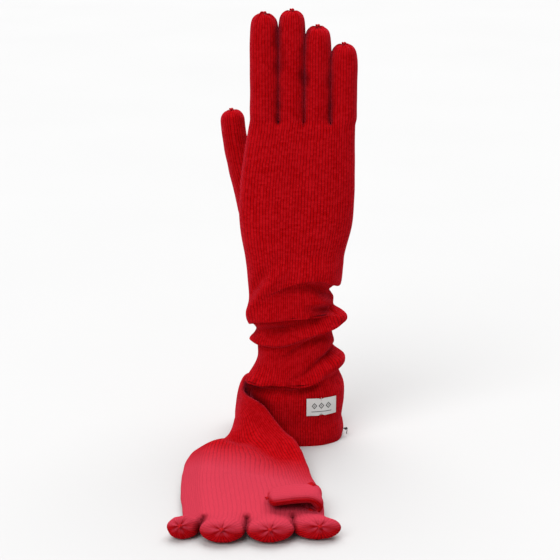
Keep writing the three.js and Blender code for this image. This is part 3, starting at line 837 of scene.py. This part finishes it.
LEFT_THUMB_PATH = [(-6, -141, 6.2), (2, -141.5, 6.4), (8.2, -142.5, 8.4), (11.0, -144, 12.4),
                   (7.5, -145.5, 16.0), (0, -146.5, 17.0), (-8, -147.5, 16.6), (-15, -148, 15.6),
                   (-21, -148.4, 14.6)]
LEFT_THUMB_SIZES = [(0, 7, 2.6), (0.16, 8, 3), (0.3, 11.5, 3.8), (0.42, 14.5, 4.4), (0.55, 15.8, 4.8),
                    (0.8, 15.6, 5), (1, 14.6, 4.8)]
LEFT_THUMB_TILT = 0.22  # the flap's front edge stands higher than its back edge


def net_columns(net, across):
    """Every row of the net at each place across, from -1 to 1."""
    table = np.array(net, float)
    places = np.linspace(-1, 1, table.shape[1])
    out = np.zeros((len(table), len(across), 3))
    for i, row in enumerate(table):
        rows = np.concatenate([places[:, None], row], axis=1)
        out[i] = np.stack(smooth_through(rows, across), -1)
    return out


def left_middle(net, across, steps):
    """The net's surface, smoothly through its rows, at even steps along."""
    columns = net_columns(net, across)
    count = len(columns)
    fine = np.linspace(0, count - 1, 6 * count)
    flat = columns.reshape(count, -1)
    rows = np.concatenate([np.arange(count)[:, None], flat], axis=1)
    dense = np.stack(smooth_through(rows, fine), -1).reshape(len(fine), len(across), 3)
    apart = np.linalg.norm(np.diff(dense, axis=0), axis=-1).mean(axis=1)
    travelled = np.concatenate([[0], np.cumsum(apart)])
    even = np.interp(np.linspace(0, travelled[-1], steps), travelled, fine)
    surface = np.stack(smooth_through(rows, even), -1).reshape(steps, len(across), 3)
    return surface, np.linspace(0, travelled[-1], steps)


def left_fingers():
    rows = []
    for shape, left, right in zip(LEFT_FINGERS, LEFT_EDGES, LEFT_EDGES[1:]):
        root, tip = LEFT_ROOT, shape["end"]
        middle, length = (left + right) / 2, tip - root
        finger = []
        for share in LEFT_SHAFT:
            radius = shape["root"] + (shape["tip"] - shape["root"]) * min(1, share * 1.5)
            rise = shape["rise"] * share * share
            depth = LEFT_HALF_DEPTH + LEFT_TIP_DEPTH * share
            finger.append((root + share * length, middle + shape["lean"] * share, rise, radius, depth))
        for up, size in TIP_ROUNDING:
            along = tip - LEFT_DOME + LEFT_DOME * up
            share = (along - root) / length
            rise = shape["rise"] * share * share
            depth = (LEFT_HALF_DEPTH + LEFT_TIP_DEPTH) * size
            finger.append((along, middle + shape["lean"] * share, rise, shape["tip"] * size, depth))
        rows.append(finger)
    return {"edges": LEFT_EDGES, "rows": rows}


def left_hand_skin():
    cage = hand_cage(LEFT_ROWS[1:], LEFT_CROTCHES, left_fingers())
    hand = refined(cage, DETAIL)
    across, depth, along = hand.points.T
    curl = CURL * np.clip((along - LEFT_ROOT - CURL_START) / CURL_REACH, 0, 1)
    hand.points = np.stack([across, curl * depth - along, depth + LEFT_MIDDLE], -1)
    return hand


def left_sleeve(hand):
    """The sleeve as one tube from the palm's open edge to its hem behind the right glove."""
    order, places = open_edge(hand, axis=1, sign=-1)
    edge = hand.points[order]
    middle, half_width, half_depth = LEFT_ROWS[1][1:]
    across = np.clip((edge[:, 0] - middle) / half_width, -1, 1)
    through = (edge[:, 2] - LEFT_MIDDLE) / half_depth
    surface, lengths = left_middle(LEFT_NET, across, LEFT_STEPS)
    even, _ = left_middle(LEFT_NET, np.linspace(-1, 1, LEFT_PLACES), LEFT_STEPS)
    normal = unit_length(np.cross(np.gradient(even, axis=1), np.gradient(even, axis=0)))
    pick = (across + 1) * (LEFT_PLACES - 1) / 2
    low = np.clip(pick.astype(int), 0, LEFT_PLACES - 2)
    share = (pick - low)[None, :, None]
    normal = normal[:, low] * (1 - share) + normal[:, low + 1] * share
    half_depth = np.interp(lengths, THINNING, [LEFT_HALF_DEPTH, RIBBON_HALF_DEPTH])
    rings = surface + normal * through[None, :, None] * half_depth[:, None, None]
    shift = edge - rings[0]
    fade = np.clip(1 - lengths / EDGE_FADE, 0, 1) ** 2
    rings += shift[None] * fade[:, None, None]
    rings[..., 2] = np.maximum(rings[..., 2], TABLE_GAP)
    return tube_skin(rings, places, LEFT_SEAM - lengths)


# ------------------------------------------------------------------ materials

WOOL = (0.40, 0.0009, 0.0018, 1)
# dark red of painted shade: in the stitches' grooves, in recesses and between the strands of the knots'
# yarn
SHADED_WOOL = (0.07, 0.0001, 0.0003, 1)
HEATHER = (0.62, 0.010, 0.018, 1)
# paler, pinker red, painted light on the empty glove's upward palm
PALM_PAINTED_LIGHT = (0.49, 0.040, 0.069, 1)
FUZZ_TINT = (1.0, 0.09, 0.16, 1.0)
SATIN_LOW = (0.50, 0.50, 0.485, 1)
SATIN_HIGH = (0.66, 0.66, 0.645, 1)
INK = (0.02, 0.018, 0.02, 1)
# each yarn's first colour is painted shade between its strands, its second the strands' own colour
SILVER_YARN = ((0.3, 0.3, 0.29, 1), (0.6, 0.6, 0.58, 1))
DARK_YARN = ((0.012, 0.010, 0.012, 1), (0.06, 0.05, 0.055, 1))
PAPER = ((0.50, 0.50, 0.50, 1), (0.52, 0.52, 0.52, 1))


class Graph:
    """Shorthand for a material's nodes."""

    def __init__(self, name):
        self.material = bpy.data.materials.new(name)
        self.material.use_nodes = True
        self.tree = self.material.node_tree
        self.shader = self.tree.nodes["Principled BSDF"]

    def node(self, kind, inputs=None, **settings):
        made = self.tree.nodes.new("ShaderNode" + kind)
        for key, value in settings.items():
            setattr(made, key, value)
        for key, value in (inputs or {}).items():
            self.feed(made.inputs[key], value)
        return made

    def feed(self, socket, value):
        if isinstance(value, bpy.types.NodeSocket):
            self.tree.links.new(value, socket)
        else:
            socket.default_value = value

    def math(self, operation, a, b=0.0):
        return self.node("Math", {0: a, 1: b}, operation=operation).outputs[0]

    def times(self, a, b):
        return self.math("MULTIPLY", a, b)

    def plus(self, a, b):
        return self.math("ADD", a, b)

    def minus(self, a, b):
        return self.math("SUBTRACT", a, b)

    def clamp(self, value, most=1.0):
        return self.math("MINIMUM", self.math("MAXIMUM", value, 0.0), most)

    def finish(self, colour, height, settings, bump_strength, bump_distance):
        """Set the shader's colour, plain values and bump."""
        self.feed(self.shader.inputs["Base Color"], colour)
        for name, value in settings.items():
            self.feed(self.shader.inputs[name], value)
        relief = {"Height": height, "Strength": bump_strength, "Distance": bump_distance}
        self.feed(self.shader.inputs["Normal"], self.node("Bump", relief).outputs["Normal"])
        return self.material

    def mix(self, share, a, b):
        made = self.node("Mix", data_type="RGBA")
        self.feed(made.inputs["Factor"], share)
        self.feed(made.inputs["A"], a)
        self.feed(made.inputs["B"], b)
        return made.outputs["Result"]

    def noise(self, vector, scale, detail=2.0):
        made = self.node("TexNoise", {"Vector": vector, "Scale": scale, "Detail": detail})
        return made.outputs["Fac"]


def knit_material(name, base, shade_colour, light):
    """Stocking stitch: columns of small V stitches, with the wool's own unevenness and fuzz, painted shade
    in the grooves and recesses, and painted light on the empty glove's upward palm.
    """
    g = Graph(name)
    fabric = g.node("UVMap", uv_map="knit").outputs["UV"]
    split = g.node("SeparateXYZ", {0: fabric})
    wander = g.times(g.minus(g.noise(fabric, 0.22, 1.0), 0.5), 0.9)
    wale = g.math("DIVIDE", g.plus(split.outputs["X"], wander), WALE)
    course = g.math("DIVIDE", split.outputs["Y"], COURSE)
    aside = g.times(g.math("ABSOLUTE", g.minus(g.math("FRACT", wale), 0.5)), 2.0)
    off_leg = g.math("ABSOLUTE", g.minus(g.times(aside, 1.5), 0.5))
    leg = g.minus(1.0, g.math("POWER", off_leg, 2.0))
    phase = g.math("FRACT", g.plus(course, g.times(aside, 0.75)))
    stitch = g.math("SINE", g.times(phase, math.pi))
    body = g.times(leg, g.plus(g.times(stitch, 0.45), 0.55))
    fluff = g.noise(fabric, 2.6, 3.0)
    height = g.plus(body, g.times(fluff, 0.3))
    # painted shade in the grooves: the stitch pattern goes towards the shade colour between the stitches'
    # legs
    deep = g.mix(g.clamp(g.minus(g.times(body, 1.5), 0.22)), shade_colour, base)
    cell = g.node("CombineXYZ", {0: g.math("FLOOR", wale), 1: g.math("FLOOR", course)}).outputs[0]
    fleck = g.node("TexWhiteNoise", {"Vector": cell}, noise_dimensions="2D").outputs["Value"]
    cloudy = g.noise(fabric, 0.07, 3.0)
    bright = g.times(g.plus(g.times(fleck, 0.55), g.times(cloudy, 0.4)), 0.5)
    open_wool = g.mix(bright, deep, light)
    # painted shade: how deep in a recess the fabric lies, kept on the mesh
    hollow = g.node("Attribute", attribute_name="hollow").outputs["Fac"]
    # painted light: paler, pinker colour on the empty glove's upward palm
    painted_palm_light = g.node("Attribute", attribute_name="painted_palm_light").outputs["Fac"]
    soft = g.times(painted_palm_light, g.plus(g.times(fluff, 0.5), 0.62))
    palm_lit_wool = g.mix(soft, open_wool, PALM_PAINTED_LIGHT)
    # painted shade: the wool goes towards the shade colour in recesses
    shade_share = g.clamp(g.minus(g.times(hollow, 2.3), 0.25), 0.94)
    wool = {"Roughness": 0.9, "Specular IOR Level": 0.0, "Sheen Weight": 0.4,
            "Sheen Roughness": 0.3, "Sheen Tint": FUZZ_TINT}
    return g.finish(g.mix(shade_share, palm_lit_wool, shade_colour), height, wool, 0.75, 0.0005)


def yarn_material(name, base, light):
    """Plied yarn: two strands wound round each other, going towards the first colour between the strands as
    painted shade.
    """
    g = Graph(name)
    place = g.node("UVMap", uv_map="knit").outputs["UV"]
    split = g.node("SeparateXYZ", {0: place})
    wound = g.plus(g.times(split.outputs["X"], 2.0), g.times(split.outputs["Y"], 0.5))
    # painted shade between the strands
    ply = g.math("SINE", g.times(g.math("FRACT", wound), math.pi))
    thread = {"Roughness": 0.85, "Specular IOR Level": 0.1}
    return g.finish(g.mix(ply, base, light), ply, thread, 0.6, 0.0002)


def satin_material():
    """Woven satin with a generic row of three small diamonds and a rule under them."""
    g = Graph("satin")
    place = g.node("UVMap", uv_map="knit").outputs["UV"]
    split = g.node("SeparateXYZ", {0: place})
    u, v = split.outputs["X"], split.outputs["Y"]
    aside = g.math("ABSOLUTE", u)
    repeat = g.math("PINGPONG", g.plus(u, 26.0), 2.6)
    raised = g.math("ABSOLUTE", g.minus(v, 0.9))
    diamond = g.plus(g.math("DIVIDE", repeat, 2.15), g.math("DIVIDE", raised, 2.5))
    rim = g.times(g.math("LESS_THAN", diamond, 0.98), g.math("GREATER_THAN", diamond, 0.6))
    core = g.math("LESS_THAN", diamond, 0.24)
    ornament = g.times(g.math("MAXIMUM", rim, core), g.math("LESS_THAN", aside, 7.7))
    rule = g.math("LESS_THAN", g.math("ABSOLUTE", g.plus(v, 3.6)), 0.28)
    rule = g.times(rule, g.math("LESS_THAN", aside, 7.4))
    mark = g.math("MAXIMUM", ornament, rule)
    weave = g.math("SINE", g.times(v, 2 * math.pi / 0.35))
    ground = g.mix(g.noise(place, 1.4, 4.0), SATIN_LOW, SATIN_HIGH)
    height = g.plus(g.times(weave, 0.5), g.times(mark, 0.8))
    sheen = {"Roughness": 0.42, "Specular IOR Level": 0.45}
    return g.finish(g.mix(mark, ground, INK), height, sheen, 0.35, 0.0001)


def floor_material():
    g = Graph("paper")
    tint = g.mix(g.noise(g.node("TexCoord").outputs["Object"], 3.0), *PAPER)
    g.feed(g.shader.inputs["Base Color"], tint)
    g.feed(g.shader.inputs["Roughness"], 0.95)
    return g.material


# ------------------------------------------------------------------ scene

CAMERA = (-12.6, -1064.3, 437.2)
CAMERA_PITCH = 16.5  # degrees below level
LENS = 96.43
SENSOR = 36
FLOOR_REACH = 6.0  # metres from the middle
SKY = 0.42
# Name, direction towards the light, strength and softness in degrees
SUNS = (("key", (-0.5, -0.8, 1.0), 2.0, 40), ("top", (0.1, 0.45, 1.0), 3.4, 60))


def make_camera():
    data = bpy.data.cameras.new("camera")
    data.lens = LENS
    data.sensor_width = SENSOR
    camera = placed("camera", data)
    camera.location = row_point(*CAMERA)
    camera.rotation_euler = (math.radians(90 - CAMERA_PITCH), 0, 0)
    bpy.context.scene.camera = camera


def sun_light(name, toward, strength, softness):
    """Even light from one side, as from a wide softbox."""
    data = bpy.data.lights.new(name, "SUN")
    data.energy = strength
    data.angle = math.radians(softness)
    lamp = placed(name, data)
    lamp.rotation_euler = Vector(toward).to_track_quat("Z", "Y").to_euler()


def make_studio():
    """A plain pale floor under two soft lights and an even pale sky."""
    mesh = bpy.data.meshes.new("floor")
    far = FLOOR_REACH
    corners = [(-far, -far, 0), (far, -far, 0), (far, far, 0), (-far, far, 0)]
    mesh.from_pydata(corners, [], [(0, 1, 2, 3)])
    floor = placed("floor", mesh)
    mesh.materials.append(floor_material())
    world = bpy.data.worlds.new("studio")
    world.use_nodes = True
    sky = world.node_tree.nodes["Background"].inputs
    sky["Color"].default_value = (1, 1, 1, 1)
    sky["Strength"].default_value = SKY
    bpy.context.scene.world = world
    for name, toward, strength, softness in SUNS:
        sun_light(name, toward, strength, softness)
    bpy.context.scene.view_settings.view_transform = "Standard"


# ------------------------------------------------------------------ making the gloves

def dress(obj, material=None):
    """Give a piece its material, which is the red wool unless another is named."""
    obj.data.materials.append(material or RED)
    return obj


def digits(names, edges):
    """Each finger's name with the two places across the glove between which it lies."""
    inner = list(edges[1:-1])
    return zip(names, [-OUTSIDE] + inner, inner + [OUTSIDE])


def right_tip(name):
    high = node_box(f"right_{name}_finger")[1]
    middle, lean, _ = RIGHT_FINGERS[name]
    return np.array([middle + lean, 0, high[2] + 0.4])


def right_glove():
    hand = refined(hand_cage(RIGHT_ROWS, RIGHT_CROTCHES, right_fingers()), DETAIL)
    order, _ = open_edge(hand)
    glove = join(hand, right_sleeve(hand), order)
    lumpy(glove, amount=0.45, size=16, seed=3)
    for number, name in enumerate(RIGHT_NAMES):
        pucker(glove, right_tip(name), UP, reach=7.5, depth=0.75, folds=9, seed=number)
    nub(glove, np.array(INDEX_NUB), height=1.6, size=1.7)
    return glove


def hem_thickness(points):
    """The hem is turned up inside, so it is two layers up to just below its stitching."""
    return np.where(points[:, 2] < HEM_TOP - 1.2, 1.8 * THICKNESS, THICKNESS)


def make_right(glove, shade):
    normals = point_normals(glove.points, glove.faces)
    # painted shade in recesses, for each point of the right glove
    hollow = shade.at(glove.points)
    across, _, up = glove.middles().T
    for name, low, high in digits(RIGHT_NAMES, RIGHT_EDGES):
        here = (up > RIGHT_CUT) & (across > low) & (across <= high)
        skin = dress(piece(f"right_{name}_knit", glove, here, normals, hollow=hollow))
        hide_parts(f"right_{name}_finger")
        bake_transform(skin)
        gather_tip(f"right_{name}", right_tip(name) + [0, 0, -0.1])
    for body, below, nodes, low, high, stretch in RIGHT_LENGTHS:
        here = (up > low) & (up <= high)
        skin = dress(piece(f"{body}_knit", glove, here, normals, hollow=hollow))
        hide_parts(*nodes)
        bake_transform(skin)
    hem = up <= HEM_TOP
    skin = dress(piece("right_hem_knit", glove, hem, normals, hem_thickness, hollow))
    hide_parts("right_hem")
    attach(skin, "root")


def thumb_skin(path, sizes, across, rings, lumps, crease, folds, seed):
    """A thumb's skin with its normals, its tip and the way it points."""
    skin, tip, along = swept_skin(path, across, sizes, rings, around=96)
    lumpy(skin, *lumps)
    pucker(skin, tip, along, *crease, folds, seed)
    return skin, point_normals(skin.points, skin.faces), tip, along


def make_right_thumb():
    skin, normals, tip, along = thumb_skin(
        RIGHT_THUMB_PATH, RIGHT_THUMB_SIZES, across=(1, 0, 0), rings=150,
        lumps=(0.35, 14, 8), crease=(7, 0.45), folds=9, seed=21)
    everywhere = np.ones(len(skin.faces), bool)
    thumb = dress(piece("right_thumb_knit", skin, everywhere, normals))
    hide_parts("right_thumb")
    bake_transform(thumb)
    gather_tip("right_thumb", tip + along * 0.1, 1.4)


HEM_TAIL = ((0, 0, 0), (0.9, -0.3, -0.8), (1.0, -0.5, -2.0), (0.6, -0.5, -3.4), (0.9, -0.4, -4.2))
LABEL_SIZE = (22.0, 13.5)
LABEL_POINTS = (67, 43)
LABEL_THICKNESS = 0.45
LABEL_OFF = 1.25  # how far the label's face stands off the sleeve
PINCH_WIDTH = 1.5  # of the dent where a tack holds the label
PINCH_DEPTH = 0.11
BEFORE = -70.0  # in front of the sleeve, where a ray towards it starts


def label_points(shade, centre):
    """The label's face, laid on the front of the sleeve and pinched in where its tacks hold it."""
    across = np.linspace(-LABEL_SIZE[0] / 2, LABEL_SIZE[0] / 2, LABEL_POINTS[0])
    up = np.linspace(LABEL_SIZE[1] / 2, -LABEL_SIZE[1] / 2, LABEL_POINTS[1])
    points = np.zeros((len(up), len(across), 3))
    for i, v in enumerate(up):
        edge = abs(2 * v / LABEL_SIZE[1])
        for j, u in enumerate(across):
            pinch = math.exp(-((u / PINCH_WIDTH) ** 2))
            x, z = centre[0] + u, centre[2] + v * (1 - PINCH_DEPTH * pinch * edge ** 3)
            hit = shade.tree.ray_cast(Vector((x, BEFORE, z)), Vector((0, 1, 0)))[0]
            held = pinch * edge ** 2
            puff = 0.55 * math.cos(u * 0.42 + 0.4) * edge ** 2
            points[i, j] = x, hit.y - LABEL_OFF + 0.5 * held - puff * (1 - held) * 0.5, z
    for _ in range(6):
        points[1:-1, 1:-1, 1] = (points[:-2, 1:-1, 1] + points[2:, 1:-1, 1]
                                 + points[1:-1, :-2, 1] + points[1:-1, 2:, 1]) / 4
    place = np.stack(np.meshgrid(up, across, indexing="ij")[::-1], -1).reshape(-1, 2)
    return points, place


def make_label(shade):
    low, high = node_box("right_label")
    points, place = label_points(shade, (low + high) / 2)
    tall, wide = points.shape[:2]
    rows, columns = np.meshgrid(np.arange(tall - 1), np.arange(wide - 1), indexing="ij")
    faces = np.stack([(rows + 1) * wide + columns, (rows + 1) * wide + columns + 1,
                      rows * wide + columns + 1, rows * wide + columns], -1).reshape(-1, 4)
    skin = Skin(points.reshape(-1, 3), faces, place[faces])
    normals = point_normals(skin.points, skin.faces)
    everywhere = np.ones(len(faces), bool)
    label = piece("right_label_satin", skin, everywhere, normals, LABEL_THICKNESS)
    dress(label, SATIN)
    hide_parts("right_label")
    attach(label, "root")
    for end, edge, inward in (("top", 0, 1), ("bottom", tall - 1, -1)):
        make_tack(end, points[edge, wide // 2], points[edge + inward * 4, wide // 2], inward)


def make_tack(end, edge, inside, inward):
    """A short stitch from the label's face over its edge into the sleeve."""
    start = inside + [0, -0.25, 0]
    over = edge + [0, -0.3, inward * 0.15]
    under = over + [0, 1.5, inward * 0.5]
    route = [start + [0, 0.8, 0], start, (start + over) / 2 + [0, -0.1, 0], over,
             (over + under) / 2 + [0, 0, inward * 0.3], under]
    tack = yarn(f"right_label_{end}_stitch", route, 0.2, SILVER)
    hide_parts(f"right_label_{end}_tack")
    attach(tack, "root")


def make_hem_thread():
    """The knotted end of the hem's sewing thread, hanging at the right."""
    low, high = node_box("right_hem_thread")
    knot = np.array([(low[0] + high[0]) / 2 - 0.6, (low[1] + high[1]) / 2, high[2] - 1.2])
    root = [knot + [-2.2, 0.2, 0.2]]
    tail = [knot + step for step in HEM_TAIL]
    route = root + list(knot_route(knot, 1.3)) + tail
    thread = yarn("right_hem_loose_thread", route, 0.3, DARK)
    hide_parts("right_hem_thread")
    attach(thread, "root")


def left_tip(number):
    """The tip of one of the empty glove's fingers, and the way it points."""
    shape = LEFT_FINGERS[number]
    middle = (LEFT_EDGES[number] + LEFT_EDGES[number + 1]) / 2 + shape["lean"]
    along = np.array([shape["lean"] * 0.01, -1.0, 0.45])
    tip = np.array([middle, 0.6 - shape["end"], shape["rise"] + 7.2])
    return tip, along / np.linalg.norm(along)


def left_glove():
    hand = left_hand_skin()
    order, _ = open_edge(hand, axis=1, sign=-1)
    glove = join(hand, left_sleeve(hand), order)
    lumpy(glove, amount=0.4, size=16, seed=5)
    for number in range(len(LEFT_NAMES)):
        tip, along = left_tip(number)
        pucker(glove, tip, along, reach=10, depth=0.42, folds=7, seed=30 + number)
    glove.points[:, 2] = np.maximum(glove.points[:, 2], TABLE_GAP)
    return glove


def up_facing_light_share(points, normals):
    """Painted light: the palm's upward faces are given a paler, pinker colour, which fades out on a slant
    towards the sleeve.
    """
    start = 48 + 0.42 * np.clip(points[:, 0] + 70, 0, 90)
    palm = np.clip((-points[:, 1] - start) / 38, 0, 1)
    return palm * np.clip(normals[:, 2] * 1.4, 0, 1)


def make_left(glove, shade):
    normals = point_normals(glove.points, glove.faces)
    # painted shade in recesses and painted light on the palm's upward faces
    painted_light_and_shade = {"hollow": shade.at(glove.points), "painted_palm_light": up_facing_light_share(glove.points, normals)}
    across, along, _ = glove.middles().T
    for number, (name, low, high) in enumerate(digits(LEFT_NAMES, LEFT_EDGES)):
        here = (along < LEFT_CUT) & (across > low) & (across <= high)
        skin = dress(piece(f"left_{name}_knit", glove, here, normals, **painted_light_and_shade))
        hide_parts(f"left_{name}_finger")
        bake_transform(skin)
        tip, way = left_tip(number)
        gather_tip(f"left_{name}", tip - way * 0.4)
    hand_part = (along >= LEFT_CUT) & (along < LEFT_WRIST_STRETCH[0])
    skin = dress(piece("left_hand_knit", glove, hand_part, normals, **painted_light_and_shade))
    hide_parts("left_hand")
    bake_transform(skin)
    hem = (across > LEFT_HEM_START[0]) & (along > LEFT_HEM_START[1])
    skin = dress(piece("left_hem_knit", glove, hem, normals, hollow=painted_light_and_shade["hollow"]))
    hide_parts("left_hem")
    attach(skin, "left_sleeve")
    sleeve = (along >= LEFT_WRIST_STRETCH[0]) & ~hem
    skin = dress(piece("left_sleeve_knit", glove, sleeve, normals, **painted_light_and_shade))
    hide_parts("left_sleeve")
    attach(skin, "left_sleeve")


def make_left_thumb():
    skin, normals, tip, along = thumb_skin(
        LEFT_THUMB_PATH, LEFT_THUMB_SIZES, across=(0, 1, -LEFT_THUMB_TILT), rings=170,
        lumps=(0.4, 14, 9), crease=(8, 0.5), folds=8, seed=22)
    everywhere = np.ones(len(skin.faces), bool)
    # painted light on the thumb's upward faces
    painted_palm_light = up_facing_light_share(skin.points, normals)
    thumb = dress(piece("left_thumb_knit", skin, everywhere, normals, painted_palm_light=painted_palm_light))
    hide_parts("left_thumb")
    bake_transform(thumb)
    gather_tip("left_thumb", tip + along * 0.1, 1.4)


make_camera()
make_studio()
RED = knit_material("red_knit", WOOL, SHADED_WOOL, HEATHER)
YARN = yarn_material("red_yarn", SHADED_WOOL, HEATHER)
SATIN = satin_material()
SILVER = yarn_material("silver_thread", *SILVER_YARN)
DARK = yarn_material("dark_thread", *DARK_YARN)
RIGHT = right_glove()
LEFT = left_glove()
# how deep in a recess each point lies, for the painted shade
SHADE = Shade([RIGHT, LEFT])
make_right(RIGHT, SHADE)
make_right_thumb()
make_label(SHADE)
make_hem_thread()
make_left(LEFT, SHADE)
make_left_thumb()
